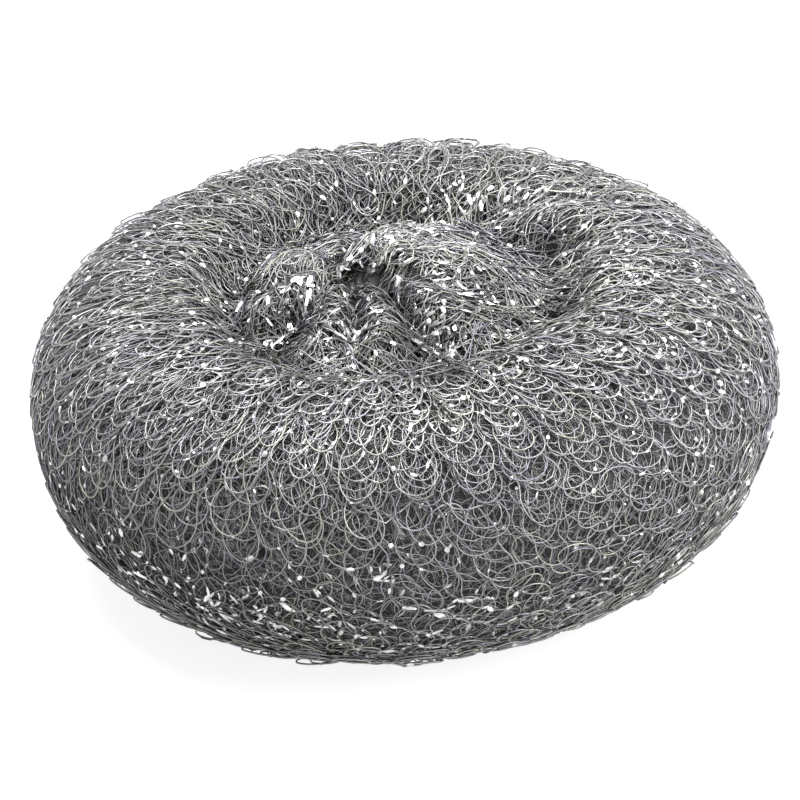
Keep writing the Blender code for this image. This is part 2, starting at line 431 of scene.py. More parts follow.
def form(turn, along):
    """Points of the pad's form."""
    radius, height = (np.interp(along, SECTION[0], values) for values in SECTION[1:])
    waves = sum(rise * np.cos(count * turn + math.radians(phase)) for count, phase, rise in RIM_WAVES)
    radius = radius + waves * ease(radius / CREST_RADIUS)
    on_top = along < BASE_AT
    height = height + on_top * (height / FORM_HEIGHT) * (pleats(turn, radius) + crease(turn, radius))
    in_knot = 1.0 - ease(along / CREST_AT)
    shift = CREST_SHIFT * bump((along - CREST_AT) / CREST_SHIFT_REACH)
    x = radius * np.cos(turn) + in_knot * KNOT_OFFSET[0]
    y = radius * np.sin(turn) + in_knot * KNOT_OFFSET[1] + shift
    return np.stack((x, y, height + TOP_TILT * (y / FORM_RADIUS) * (height / FORM_HEIGHT)), axis=-1)


def form_normals(turn, along):
    """Outward normals of the form."""
    along = np.clip(along, SLOPE_STEP, SLEEVE_END - SLOPE_STEP)
    down = form(turn, along + SLOPE_STEP) - form(turn, along - SLOPE_STEP)
    across = form(turn + SLOPE_STEP / PIT_RADIUS, along) - form(turn - SLOPE_STEP / PIT_RADIUS, along)
    return unit(np.cross(down, across))


def form_middle():
    """Middle of the form's box in x and y with the loops on it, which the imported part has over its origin."""
    turn, along = np.meshgrid(np.linspace(0.0, math.tau, 361), np.linspace(CREST_AT, BASE_AT, 120))
    points = (form(turn, along) + form_normals(turn, along) * LOOP_RISE).reshape(-1, 3)
    return (points.min(axis=0) + points.max(axis=0)) / 2 * (1.0, 1.0, 0.0)


MIDDLE = form_middle()


def surface(turn, along, rise):
    """Points at a height over the form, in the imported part's place, and the form's normals there."""
    normals = form_normals(turn, along)
    return form(turn, along) - MIDDLE + normals * rise[..., None], normals


class KnitSizes(bpy.types.PropertyGroup):
    """Sizes of the knit."""

    wales: bpy.props.IntProperty(name="Wales", description="Columns of loops round the pad", default=37, min=8)
    pitch: bpy.props.FloatProperty(
        name="Course pitch", description="From one course of a layer to its next", default=4.3 * MM, unit="LENGTH"
    )
    loop_radius: bpy.props.FloatProperty(
        name="Loop radius", description="Of the heads and sinkers on the rim", default=2.8 * MM, unit="LENGTH"
    )
    ribbon_width: bpy.props.FloatProperty(
        name="Ribbon width", description="Of the flattened wire", default=0.24 * MM, unit="LENGTH"
    )
    ribbon_thickness: bpy.props.FloatProperty(
        name="Ribbon thickness", description="Of the flattened wire", default=0.17 * MM, unit="LENGTH"
    )
    tilt: bpy.props.FloatProperty(
        name="Loop tilt", description="How steeply the loops stand out of their layer", default=0.16
    )
    twist: bpy.props.FloatProperty(
        name="Ribbon twist", description="How far the ribbon turns over at most", default=1.3, subtype="ANGLE"
    )
    core_depth: bpy.props.FloatProperty(
        name="Core depth", description="From the form down to the dark core", default=1.8 * MM, unit="LENGTH"
    )


class WireLook(bpy.types.PropertyGroup):
    """Colours of the wire."""

    wire_colour: bpy.props.FloatVectorProperty(
        name="Wire", description="Colour of the wire", default=(0.39, 0.39, 0.395), subtype="COLOR"
    )
    deep_colour: bpy.props.FloatVectorProperty(
        name="Deep wire", description="Colour of the wire deep in the pad", default=(0.6, 0.6, 0.6), subtype="COLOR"
    )
    # The flats are lighter than the wire as a painted glint
    dull_glint_colour: bpy.props.FloatVectorProperty(
        name="Dull flats", description="Least rubbed flats of the wire", default=(0.45, 0.46, 0.45), subtype="COLOR"
    )
    bright_glint_colour: bpy.props.FloatVectorProperty(
        name="Glinting flats", description="Most rubbed flats of the wire", default=(0.72, 0.72, 0.71), subtype="COLOR"
    )


class StageLook(bpy.types.PropertyGroup):
    """Light and floor."""

    key_power: bpy.props.FloatProperty(name="Key light", description="Power of the soft light overhead", default=11.0)
    side_power: bpy.props.FloatProperty(name="Side light", description="Power of the light at the right", default=7.0)
    world_strength: bpy.props.FloatProperty(name="World", description="Strength of the world's light", default=0.5)


class Layer(NamedTuple):
    """One layer of the knit and how it stands to the other layers."""

    name: str
    rise: float
    steps: int
    tilt: float
    phase: float
    lag: float
    skew: float
    pair: int
    ply: int


def knit_layers(sizes):
    """The layers of the knit from the outermost in."""
    layers = []
    for index, (rise, steps) in enumerate(LAYERS):
        pair, ply = divmod(index, 2)
        tilt = sizes.tilt * (OUTER_TILT if pair < OUTER_PAIRS else 1.0)
        phase = pair * PAIR_PHASE % 1.0 + PLY_PHASE * ply
        lag = pair * PAIR_LAG % 1.0 + PLY_LAG * ply
        skew = (-1) ** pair * PAIR_SKEW * (1 + pair)
        layers.append(Layer(f"knit_{index + 1}", rise * MM, steps, tilt, phase, lag, skew, pair + 1, ply))
    return layers


def courses(layer, sizes):
    """How many courses the layer has."""
    return int((SLEEVE_END - FIRST_COURSE - LAST_COURSE) / sizes.pitch - layer.lag)


def course_at(layer, sizes, serial):
    """Distance along the sleeve of the course's middle at serial numbers of stitches along the wire."""
    return FIRST_COURSE + sizes.pitch * (layer.lag + serial / sizes.wales)


def wale_width(sizes):
    """Width of one column of loops on the rim."""
    return math.tau * FORM_RADIUS / sizes.wales


def arc_centre(sizes):
    """How far each head's and each sinker's centre lies from the middle of its course."""
    return math.sqrt(sizes.loop_radius**2 - wale_width(sizes) ** 2 / 16)


def half_arc(sizes):
    """The angle from the middle of a head or sinker to where the next arc starts."""
    return math.pi / 2 + math.atan2(arc_centre(sizes), wale_width(sizes) / 4)


def mesh_of(bm, name):
    """The mesh of what was built, which is freed."""
    mesh = bpy.data.meshes.new(name)
    bm.to_mesh(mesh)
    bm.free()
    return mesh


def new_object(name, data):
    """A new object in the scene."""
    obj = bpy.data.objects.new(name, data)
    bpy.context.scene.collection.objects.link(obj)
    return obj


def weld(bm):
    """Joins what lies together and closes the holes that are left."""
    bmesh.ops.remove_doubles(bm, verts=bm.verts, dist=WELD)
    bmesh.ops.holes_fill(bm, edges=[edge for edge in bm.edges if edge.is_boundary], sides=0)


def stitch(sizes, steps):
    """One stitch of the knit, flat: half a sinker, a head and half a sinker, as an open tube."""
    aside, centre, half = wale_width(sizes) / 2, arc_centre(sizes), half_arc(sizes)
    bm = bmesh.new()
    upright = Matrix.Rotation(math.pi / 2, 4, "Y") @ Matrix.Rotation(math.pi, 4, "Z")
    bmesh.ops.create_circle(bm, segments=3, radius=1.0, matrix=upright)
    lowest, highest = (Vector([choose(v.co[i] for v in bm.verts) for i in range(3)]) for choose in (min, max))
    size = highest - lowest
    bmesh.ops.translate(bm, verts=bm.verts, vec=(0, 0, -(highest.z + lowest.z) / 2))
    bmesh.ops.scale(bm, verts=bm.verts, vec=(1, sizes.ribbon_thickness / size.y, sizes.ribbon_width / size.z))
    bmesh.ops.translate(bm, verts=bm.verts, vec=(-aside, centre + sizes.loop_radius, 0))
    end = bm.verts[:] + bm.edges[:]
    for at, angle, share in (
        ((-aside, centre, 0), -half, 0.5),
        ((0, -centre, 0), 2 * half, 1.0),
        ((aside, centre, 0), -half, 0.5),
    ):
        arc = bmesh.ops.spin(bm, geom=end, cent=at, axis=(0, 0, 1), angle=angle, steps=round(steps * share))
        end = arc["geom_last"]
    return mesh_of(bm, "stitch")


def repeated(mesh, rows):
    """The mesh repeated in rows, each a count and a step, with an Array modifier for each."""
    obj = new_object("repeated", mesh)
    for repeats, step in rows:
        array = obj.modifiers.new("array", "ARRAY")
        array.count = repeats
        array.use_relative_offset, array.use_constant_offset = False, True
        array.constant_offset_displace = step
    graph = bpy.context.evaluated_depsgraph_get()
    flat = bpy.data.meshes.new_from_object(obj.evaluated_get(graph))
    bpy.data.objects.remove(obj)
    return flat


def points_of(mesh):
    """The mesh's vertices as an array."""
    points = np.empty(len(mesh.vertices) * 3)
    mesh.vertices.foreach_get("co", points)
    return points.reshape(-1, 3)


def stitch_line(sizes, share):
    """Points of the wire's middle at shares of the way along a flat stitch."""
    half, centre, radius = half_arc(sizes), arc_centre(sizes), sizes.loop_radius
    on_head = np.abs(share - 0.5) < 0.25
    from_middle = 4.0 * half * (share - np.where(on_head, 0.5, np.where(share > 0.5, 1.0, 0.0)))
    x = radius * np.sin(from_middle) + np.where(on_head, 0.0, np.sign(share - 0.5) * wale_width(sizes) / 2)
    y = (centre + radius * np.cos(from_middle)) * np.where(on_head, -1.0, 1.0)
    return x, y


def read_stitch(flat, sizes):
    """For each vertex of the flat stitch: its share of the way along, and its offsets sideways and up."""
    on_head = flat[:, 1] < 0
    x = flat[:, 0] - np.where(on_head, 0.0, np.sign(flat[:, 0]) * wale_width(sizes) / 2)
    y = np.where(on_head, -flat[:, 1], flat[:, 1]) - arc_centre(sizes)
    from_middle = np.arctan2(x, y) / (4.0 * half_arc(sizes))
    share = from_middle + np.where(on_head, 0.5, np.where(flat[:, 0] > 0, 1.0, 0.0))
    aside = (np.hypot(x, y) - sizes.loop_radius) * np.where(on_head, 1.0, -1.0)
    return share, aside, flat[:, 2]


def wander(serial, rng_seed, spread, count, often):
    """A smooth random value along the wire, with one or more fresh values at each stitch."""
    serial, count = serial * often, count * often
    values = np.random.default_rng(rng_seed).uniform(-spread, spread, count + 2)
    whole = np.clip(np.floor(serial).astype(int), 0, count)
    part = ease(serial - whole)
    return values[whole] * (1.0 - part) + values[whole + 1] * part


def waver(name, layer, sizes, serial):
    """A random value along the layer's wire, mostly shared with the layer that nests in it."""
    key, spread, often, own = WAVERS[name]
    count = (courses(layer, sizes) + 2) * sizes.wales
    shared = wander(serial, (layer.pair, key), spread, count, often)
    return (1.0 - own) * shared + own * wander(serial, (layer.pair, key, layer.ply), spread, count, often)


def bunched(turn, radius):
    """The direction with the wire drawn together along the crease and the raised pleats."""
    aside = crease_gap(turn, radius)
    pull = CREASE_PULL * crease_fade(radius) * aside * bump(radius * aside / (CREASE_PULL_REACH * CREASE_WIDTH))
    for at, width, height in PLEATS:
        if height > 0.0 and width < WIDEST_PULLED:
            gap = turn_gap(turn, at)
            reach = math.radians(PLEAT_PULL_REACH * width)
            pull = pull + PLEAT_PULL * pleat_reach(radius) * gap * bump(gap / reach)
    return turn - pull


def loop_fit(middle, curl):
    """How much wider and shorter than flat the loops lie, which in the knot are strands at curl 0 and round at 1."""
    crowd = FORM_RADIUS / np.maximum(ring_radius(middle), NARROWEST_RING)
    in_knot = (1.0 - ease((middle - KNOT_END) / KNOT_BLEND)) * (middle < BELT_AT)
    wider = 1.0 + (np.minimum(crowd, WIDEST_CROWD) - 1.0) * CROWD_WIDENING
    shorter = np.maximum(crowd, 1.0) ** -CROWD_SHORTENING
    wider = wider + in_knot * (KNOT_WIDTH + KNOT_CURL_WIDTH * curl - wider)
    shorter = shorter + in_knot * (KNOT_LENGTH + KNOT_CURL_LENGTH * curl - shorter)
    return wider, shorter


def wire_path(layer, sizes, course, wale, way):
    """Points of the laid wire's middle, the form's normals there, and the height over the form."""
    serial = course * sizes.wales + wale + way
    middle = course_at(layer, sizes, serial)

    def noise(name):
        return waver(name, layer, sizes, serial)

    # Where on the pad the wire lies
    wale_turn = math.tau / sizes.wales * (wale + way)
    gathered = 1.0 - ease((middle - GATHER_END) / GATHER_FADE)
    on_crest = bump((middle - CREST_AT) / CREST_REACH)
    on_shoulder = bump((middle - SHOULDER_AT) / SHOULDER_REACH)
    on_right = on_side(wale_turn, RIGHT)
    before, fade = LOW_LEFT_FADE
    low_left = on_side(wale_turn, FRONT_LEFT, 0.4) * ease((middle - BELT_AT + before) / fade)

    # How wide and how long its loops are
    x, y = stitch_line(sizes, way)
    wider, shorter = loop_fit(middle, KNOT_CURL + noise("curl"))
    room = np.minimum(middle, SLEEVE_END - middle) - SLEEVE_MARGIN
    shorter = shorter * np.clip(room / (arc_centre(sizes) + sizes.loop_radius), 0.0, 1.0)
    wider = wider * (1.0 + noise("width")) * (1.0 - (SHOULDER_NARROWING - RIGHT_WIDENING * on_right) * on_shoulder)
    wider = wider * (1.0 - LOW_LEFT_NARROWING * low_left)
    shorter = shorter * (1.0 + SHOULDER_LENGTHENING * on_shoulder)
    shorter = shorter * (1.0 - RIGHT_SHORTENING * on_right * (1.0 - gathered)) * (1.0 - LOW_LEFT_SHORTENING * low_left)

    # Along the sleeve, round it and over it
    loose = LOOSENESS + PAIR_LOOSENING * layer.pair
    down = -y * shorter * (1.0 + noise("length")) + noise("along") * shorter * loose
    down = down + noise("kink_along") * gathered + noise("course") * on_right * (1.0 - gathered)
    along = np.maximum(middle + down, PIT_EDGE)
    least, more = GATHER_KINKS
    shift = noise("aside") + noise("kink_aside") * (least + more * gathered)
    shift = shift + noise("lean") * down * (1.0 + GATHER_LEAN * gathered)
    across = wale + way + wider * (x / wale_width(sizes) + 0.5 - way)
    turn = math.tau / sizes.wales * (across + layer.phase) + layer.skew * along / FORM_RADIUS
    turn = turn + shift / np.maximum(ring_radius(along), NARROWEST_RING)
    before, fade = BELT_TILT_FADE
    tilt = layer.tilt * (1.0 - BELT_TILT_TURN * ease((middle - BELT_AT + before) / fade))
    tilt = tilt + noise("tilt") * (1.0 + CREST_TILT_WAVER * on_crest)
    tilt = tilt + (noise("droop") - DROOP) * bump((middle - DROOP_AT) / DROOP_REACH)
    rise = layer.rise + tilt * down + noise("lift") * (1.0 + gathered) * loose + noise("kink_up") * gathered
    points, normals = surface(bunched(turn, ring_radius(along)), along, rise)
    points[:, 2] = np.maximum(points[:, 2], sizes.ribbon_width / 2)
    return points, normals, rise


def wire_frame(layer, sizes, course, wale, way):
    """The laid wire's middle, with directions along it, sideways and up from it, and the form's normals and height."""
    before, middle, after = (
        wire_path(layer, sizes, course, wale, way + step) for step in (-PATH_STEP, 0.0, PATH_STEP)
    )
    points, normals, rise = middle
    tangents = unit(after[0] - before[0])
    sides = unit(np.cross(tangents, normals))
    return points, tangents, sides, np.cross(sides, tangents), normals, rise


def lay_layer(layer, sizes):
    """Knits the layer's courses flat, lays them on the form and returns the finished mesh."""
    total = courses(layer, sizes)
    unit_mesh = stitch(sizes, layer.steps)
    unit_stitch = read_stitch(points_of(unit_mesh), sizes)
    mesh = repeated(unit_mesh, ((sizes.wales, (wale_width(sizes), 0, 0)), (total, (0, -sizes.pitch, 0))))
    bpy.data.meshes.remove(unit_mesh)

    corners = len(unit_stitch[0])
    course, wale, _ = np.unravel_index(np.arange(len(mesh.vertices)), (total, sizes.wales, corners))
    share, aside, up = (np.tile(values, total * sizes.wales) for values in unit_stitch)
    points, _, sides, ups, _, rise = wire_frame(layer, sizes, course, wale, share)
    serial = course * sizes.wales + wale + share
    start, fade = TWIST_FADE
    roll = sizes.twist * waver("roll", layer, sizes, serial) ** 3
    roll = roll * (1.0 - LOW_TWIST_LOSS * ease((start - points[:, 2] / FORM_HEIGHT) / fade))
    fineness = 1.0 - PAIR_FINING * (layer.pair - 1)
    u = (aside * np.cos(roll) - up * np.sin(roll)) * fineness
    w = (aside * np.sin(roll) + up * np.cos(roll)) * fineness
    points = points + sides * u[:, None] + ups * w[:, None]
    points[:, 2] = np.maximum(points[:, 2], 0.0)
    mesh.vertices.foreach_set("co", points.astype(np.float32).ravel())
    shade = waver("shade", layer, sizes, serial)
    # Each vertex gets its stitch's random tone and the painted shade of its place
    for name, values in (("stitch_shade", shade), ("wire_depth", wire_depth(points, rise))):
        mesh.attributes.new(name, "FLOAT", "POINT").data.foreach_set("value", values.astype(np.float32))
    return mesh


def wire_depth(points, rise):
    """Painted shade on the wire's colour: 0 for wire in the light, 1 for wire deep in the knit or in a hollow of the
    pad.
    """
    turn, radius = round_knot(points)
    on_top = points[:, 2] > BELT_HEIGHT
    in_front = on_top * on_side(turn, FRONT)
    sunk = np.clip((-pleats(turn, radius) - crease(turn, radius)) / CREASE_VALLEY, RAISED_SHINE, 1.0)
    x, y = points[:, 0] - KNOT_OFFSET[0], points[:, 1] - KNOT_OFFSET[1] + PIT_SHADE_ASIDE
    (above, fade), (share, reach) = LOW_SHADE_FADE, LOW_SHADE_LEFT
    painted_shade_masks = {
        "pit": bump(np.hypot(x, y / PIT_SHADE_LENGTH) / PIT_SHADE_REACH),
        "groove": on_top * bump((radius - GROOVE_RADIUS) / GROOVE_SHADE_REACH),
        "valleys": on_top * sunk,
        "low_left": ease((BELT_HEIGHT + above - points[:, 2]) / fade) * ease(share - points[:, 0] / reach),
        "dark_spots": spots(DARK_SPOTS, points),
        "knot_front": in_front * ease((KNOT_FRONT_END - radius) / KNOT_FRONT_FADE),
        "front_crest": in_front * bump((radius - FRONT_CREST_AT) / FRONT_CREST_REACH),
        "deep_knit": np.clip((HIGH_WIRE - rise) / (HIGH_WIRE - DEEP_WIRE), 0.0, 1.0),
    }
    light = 1.0
    for name, shade_mask in painted_shade_masks.items():
        light = light * (1.0 - PAINTED_SHADES[name] * shade_mask)
    return np.clip(1.0 - light - BRIGHT_SPOT_SHINE * spots(BRIGHT_SPOTS, points), 0.0, 1.0)


def spots(places, points):
    """1 at the middle of each of the places round the knot, falling to 0 past their reach."""
    nearest = np.zeros(len(points))
    for direction, distance, reach in places:
        angle, distance = math.radians(direction), distance * MM
        x, y = KNOT_OFFSET[0] + distance * math.cos(angle), KNOT_OFFSET[1] + distance * math.sin(angle)
        nearest = np.maximum(nearest, bump(np.hypot(points[:, 0] - x, points[:, 1] - y) / (reach * MM)))
    return nearest * (points[:, 2] > BELT_HEIGHT)


def flat_regions(points, tangents, along, way):
    """How far each point of the wire lies in each region of the flats, and where the wire is drawn out."""
    turn, radius = round_knot(points)
    x, y, z = points.T
    outward = np.abs((tangents[:, :2] * (points[:, :2] - KNOT_OFFSET)).sum(axis=1)) / radius
    in_knot = 1.0 - ease((along - KNOT_FLATS_FADE[0]) / KNOT_FLATS_FADE[1])
    on_top = (1.0 - ease((along - CREST_AT - TOP_FLATS_FADE[0]) / TOP_FLATS_FADE[1])) * (along < BELT_AT)
    in_front = ease((KNOT_FRONT_END - radius) / KNOT_FRONT_FADE) * on_side(turn, FRONT) * (along < CREST_AT)
    on_crease = np.maximum(crease(turn, radius), 0.0) / CREASE_HEIGHT * (along < CREST_AT)
    in_light = 1.0 - FLATS_LOST_IN_DARK * spots(DARK_SPOTS, points)
    in_bright = spots(BRIGHT_SPOTS, points)
    under = (along > BELT_AT) * (along < BASE_AT + LOW_HEAD_PAST_BASE) * (z < LOW_HEAD_TOP)
    low = ease((BELT_HEIGHT + LOW_FLATS_FADE[0] - z) / LOW_FLATS_FADE[1]) * (along < BASE_AT)
    regions = {
        "anywhere": 1.0,
        "open_top": on_top * (1.0 - in_knot) * in_light,
        "gathers": np.maximum(np.maximum(in_knot, in_front), on_crease) * outward**2 * in_light,
        "bright_spots": in_bright,
        "low_heads": bump((way - 0.5) / LOW_HEAD_SHARE) * under,
        "right_rim": ease((x - RIGHT_RIM_FADE[0]) / RIGHT_RIM_FADE[1]) * (along < BASE_AT),
        "low_left": low * ease(LOW_FLATS_LEFT[0] - x / LOW_FLATS_LEFT[1]) * (y < 0.0),
        "front_crest": bump((along - CREST_AT) / CREST_FLATS_REACH) * (y < 0.0),
    }
    return regions, np.maximum(np.maximum(in_knot, in_front), in_bright)


def flat_places(layer, sizes):
    """Where the layer's flats lie: their middles, their directions along, across and up, and their half sizes."""
    stitches = courses(layer, sizes) * sizes.wales
    random = np.random.default_rng((layer.pair, layer.ply, FLAT_DRAWS))
    serial = random.uniform(0.0, stitches, int(FLAT_TRIES * stitches))
    course, stitch_serial = np.divmod(serial, sizes.wales)
    wale = np.floor(stitch_serial)
    way = stitch_serial - wale
    *wire, _ = wire_frame(layer, sizes, course, wale, way)
    regions, drawn_out = flat_regions(wire[0], wire[1], course_at(layer, sizes, serial), way)
    chance = sum(FLAT_CHANCES[name] * region for name, region in regions.items())
    kept = random.uniform(0.0, 1.0, len(serial)) < chance
    points, tangents, sides, ups, normals = (values[kept] for values in wire)
    low_head, low_left, right_rim, in_bright = (
        regions[name][kept, None] for name in ("low_heads", "low_left", "right_rim", "bright_spots")
    )
    drawn_out = drawn_out[kept, None]
    standing = np.maximum(np.maximum(low_head, right_rim), np.maximum(low_left, in_bright))
    points = points + normals * (FLAT_LIFT + FLAT_EXTRA_LIFT * standing)
    roll = random.uniform(-FLAT_ROLL, FLAT_ROLL, len(points))[:, None] * (1.0 - DRAWN_OUT_STEADIER * drawn_out)
    roll = roll * (1.0 - LOW_STEADIER * np.maximum(low_head, low_left))
    sides, ups = sides * np.cos(roll) + ups * np.sin(roll), ups * np.cos(roll) - sides * np.sin(roll)
    size = random.uniform(*FLAT_SPREAD, (len(points), 3)) * FLAT_SIZE
    size[:, :1] *= 1.0 + DRAWN_OUT_LONGER * drawn_out + LOW_HEAD_LONGER * low_head + LOW_LEFT_LONGER * low_left
    return points, (tangents, sides, ups), size


def turned_flats(layer, sizes):
    """Short flats where the layer's wire is turned over, each a lozenge along the wire, as one mesh."""
    points, axes, size = flat_places(layer, sizes)
    bm = bmesh.new()
    bmesh.ops.create_uvsphere(bm, u_segments=6, v_segments=2, radius=1.0)
    lozenge = mesh_of(bm, "lozenge")
    offsets = points_of(lozenge)[None] * size[:, None]
    mesh = repeated(lozenge, ((len(points), (3.0, 0, 0)),))
    bpy.data.meshes.remove(lozenge)
    laid = points[:, None]
    for index, axis in enumerate(axes):
        laid = laid + offsets[..., index, None] * axis[:, None]
    laid[..., 2] = np.maximum(laid[..., 2], 0.0)
    mesh.vertices.foreach_set("co", laid.astype(np.float32).ravel())
    mesh.flip_normals()
    return mesh


def close_wire(mesh):
    """Joins the stitches into one wire, closes its ends and turns its faces outwards."""
    bm = bmesh.new()
    bm.from_mesh(mesh)
    weld(bm)
    bmesh.ops.recalc_face_normals(bm, faces=bm.faces)
    bm.to_mesh(mesh)
    bm.free()
    mesh.shade_smooth()


def add_piece(name, mesh, material):
    """Puts a finished piece on the pad's body, in its material."""
    mesh.name = name
    mesh.materials.clear()
    mesh.materials.append(material)
    piece = new_object(name, mesh)
    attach(piece, "root")
    return piece


def feed(tree, socket, value):
    """Gives an input a plain value or another node's output."""
    if isinstance(value, bpy.types.NodeSocket):
        tree.links.new(value, socket)
    else:
        socket.default_value = value


def add_node(tree, kind, **inputs):
    """A new node with its inputs fed by name, with _ for a space."""
    node = tree.nodes.new(kind)
    for name, value in inputs.items():
        feed(tree, node.inputs[name.replace("_", " ")], value)
    return node


def math_node(tree, operation, *values, kind="ShaderNodeMath"):
    """The output of a Math or Vector Math node on its values."""
    node = tree.nodes.new(kind)
    node.operation = operation
    for socket, value in zip(node.inputs, values):
        feed(tree, socket, value)
    return node.outputs[0]


def colour_mix(tree, blend_type, factor, *colours):
    """The output of a Mix node on two colours, each plain red, green and blue or another node's output."""
    mix = add_node(tree, "ShaderNodeMix", Factor=factor)
    mix.data_type, mix.blend_type = "RGBA", blend_type
    for socket, colour in zip([socket for socket in mix.inputs if socket.type == "RGBA"], colours):
        feed(tree, socket, colour if isinstance(colour, bpy.types.NodeSocket) else (*colour, 1.0))
    return next(output for output in mix.outputs if output.type == "RGBA")


def object_place(tree):
    """Where a point lies on the object."""
    return tree.nodes.new("ShaderNodeTexCoord").outputs["Object"]


def mask_group(name, inputs):
    """A new node group with a Vector, float inputs and a Mask: the group, its inputs and where its Mask goes."""
    group = bpy.data.node_groups.new(name, "ShaderNodeTree")
    group.interface.new_socket(name="Vector", in_out="INPUT", socket_type="NodeSocketVector")
    for label in inputs:
        group.interface.new_socket(name=label, in_out="INPUT", socket_type="NodeSocketFloat")
    group.interface.new_socket(name="Mask", in_out="OUTPUT", socket_type="NodeSocketFloat")
    return group, group.nodes.new("NodeGroupInput").outputs, group.nodes.new("NodeGroupOutput").inputs["Mask"]


def arcs_group():
    """Node group: nests of thin arcs, as of loops seen deep in the pad."""
    group, given, mask = mask_group("nested_arcs", ("Scale", "Arcs", "Thickness"))
    cells = add_node(group, "ShaderNodeTexVoronoi", Vector=given["Vector"], Scale=given["Scale"])
    rings = math_node(group, "MULTIPLY", cells.outputs["Distance"], given["Arcs"])
    saw = math_node(group, "PINGPONG", rings, 0.5)
    edge = math_node(group, "SUBTRACT", 0.5, given["Thickness"])
    line = math_node(group, "DIVIDE", math_node(group, "SUBTRACT", saw, edge), given["Thickness"])
    group.links.new(add_node(group, "ShaderNodeClamp", Value=line).outputs["Result"], mask)
    return group


def patches_group():
    """Node group: worn patches of the wire's plating, which fade in between two levels of a noise."""
    group = bpy.data.node_groups.get("worn_patches")
    if group is None:
        group, given, mask = mask_group("worn_patches", ("Scale", "Detail", "Least", "Most"))
        noise = add_node(
            group, "ShaderNodeTexNoise", Vector=given["Vector"], Scale=given["Scale"], Detail=given["Detail"]
        )
        share = add_node(
            group, "ShaderNodeMapRange", Value=noise.outputs["Fac"], From_Min=given["Least"], From_Max=given["Most"]
        )
        group.links.new(share.outputs["Result"], mask)
    return group


def placed_group(tree, group, **inputs):
    """The Mask of a node group that is placed in a material with its own values."""
    node = tree.nodes.new("ShaderNodeGroup")
    node.node_tree = group
    for name, value in inputs.items():
        feed(tree, node.inputs[name], value)
    return node.outputs["Mask"]


def new_material(name, metallic, roughness):
    """A new material, its node tree and its shader."""
    material = bpy.data.materials.new(name)
    material.use_nodes = True
    shader = material.node_tree.nodes["Principled BSDF"]
    shader.inputs["Metallic"].default_value = metallic
    shader.inputs["Roughness"].default_value = roughness
    return material, material.node_tree, shader


def deep_material(look):
    """Wire deep in the pad: nests of dull arcs with painted shade between them."""
    material, tree, shader = new_material("deep_wire", metallic=1.0, roughness=0.42)
    place = object_place(tree)
    warp = add_node(tree, "ShaderNodeTexNoise", Vector=place, Scale=260.0, Detail=1.0)
    reach = (3 * MM, 3 * MM, 3 * MM)
    bent = math_node(tree, "MULTIPLY_ADD", warp.outputs["Color"], reach, place, kind="ShaderNodeVectorMath")
    group = arcs_group()
    mask = 0.0
    for scale, arcs, thickness in ARC_NESTS:
        nest = placed_group(tree, group, Vector=bent, Scale=scale, Arcs=arcs, Thickness=thickness)
        mask = math_node(tree, "MAXIMUM", mask, nest)
    # The dark between the arcs is painted shade
    gap_shade_colour = [PAINTED_GAP_SHADE * part for part in look.deep_colour]
    feed(tree, shader.inputs["Base Color"], colour_mix(tree, "MIX", mask, gap_shade_colour, look.deep_colour))
    relief = add_node(tree, "ShaderNodeBump", Height=mask, Distance=0.4 * MM, Strength=0.8)
    feed(tree, shader.inputs["Normal"], relief.outputs["Normal"])
    return material


def wire_material(look):
    """Drawn galvanised wire: bright, a little worn, tone and tint changing by stitch, darkened by painted shade."""
    material, tree, shader = new_material("galvanised_wire", metallic=1.0, roughness=0.5)
    shade, depth = (tree.nodes.new("ShaderNodeAttribute") for _ in range(2))
    shade.attribute_name, depth.attribute_name = "stitch_shade", "wire_depth"
    tint = add_node(tree, "ShaderNodeValToRGB", Fac=math_node(tree, "MULTIPLY_ADD", shade.outputs["Fac"], 0.5, 0.5))
    tint.color_ramp.interpolation = "EASE"
    for index, (at, shares) in enumerate(WIRE_TINTS):
        stop = tint.color_ramp.elements[index] if index < 2 else tint.color_ramp.elements.new(at)
        stop.position = at
        stop.color = (*[tone * share for tone, share in zip(look.wire_colour, shares)], 1.0)
    # Painted shade: the attribute mixes the colour towards the painted shade tint
    shade_painted_colour = colour_mix(tree, "MULTIPLY", depth.outputs["Fac"], tint.outputs["Color"], PAINTED_SHADE_TINT)
    feed(tree, shader.inputs["Base Color"], shade_painted_colour)
    place = object_place(tree)
    worn = placed_group(tree, patches_group(), Vector=place, Scale=900.0, Detail=2.0, Least=0.3, Most=0.7)
    feed(tree, shader.inputs["Roughness"], math_node(tree, "MULTIPLY_ADD", worn, 0.18, 0.4))
    kinks = add_node(tree, "ShaderNodeTexNoise", Vector=place, Scale=1400.0, Detail=1.0)
    dents = add_node(tree, "ShaderNodeBump", Height=kinks.outputs["Fac"], Distance=0.12 * MM, Strength=1.0)
    feed(tree, shader.inputs["Normal"], dents.outputs["Normal"])
    return material


def glint_flat_material(look):
    """Flats of the wire, nearly white as a painted glint, with a little of it dull."""
    material, tree, shader = new_material("rubbed_flats", metallic=1.0, roughness=0.35)
    place = object_place(tree)
    glinting = placed_group(tree, patches_group(), Vector=place, Scale=700.0, Detail=1.0, Least=0.3, Most=0.6)
    colour = colour_mix(tree, "MIX", glinting, look.dull_glint_colour, look.bright_glint_colour)
    feed(tree, shader.inputs["Base Color"], colour)
    return material


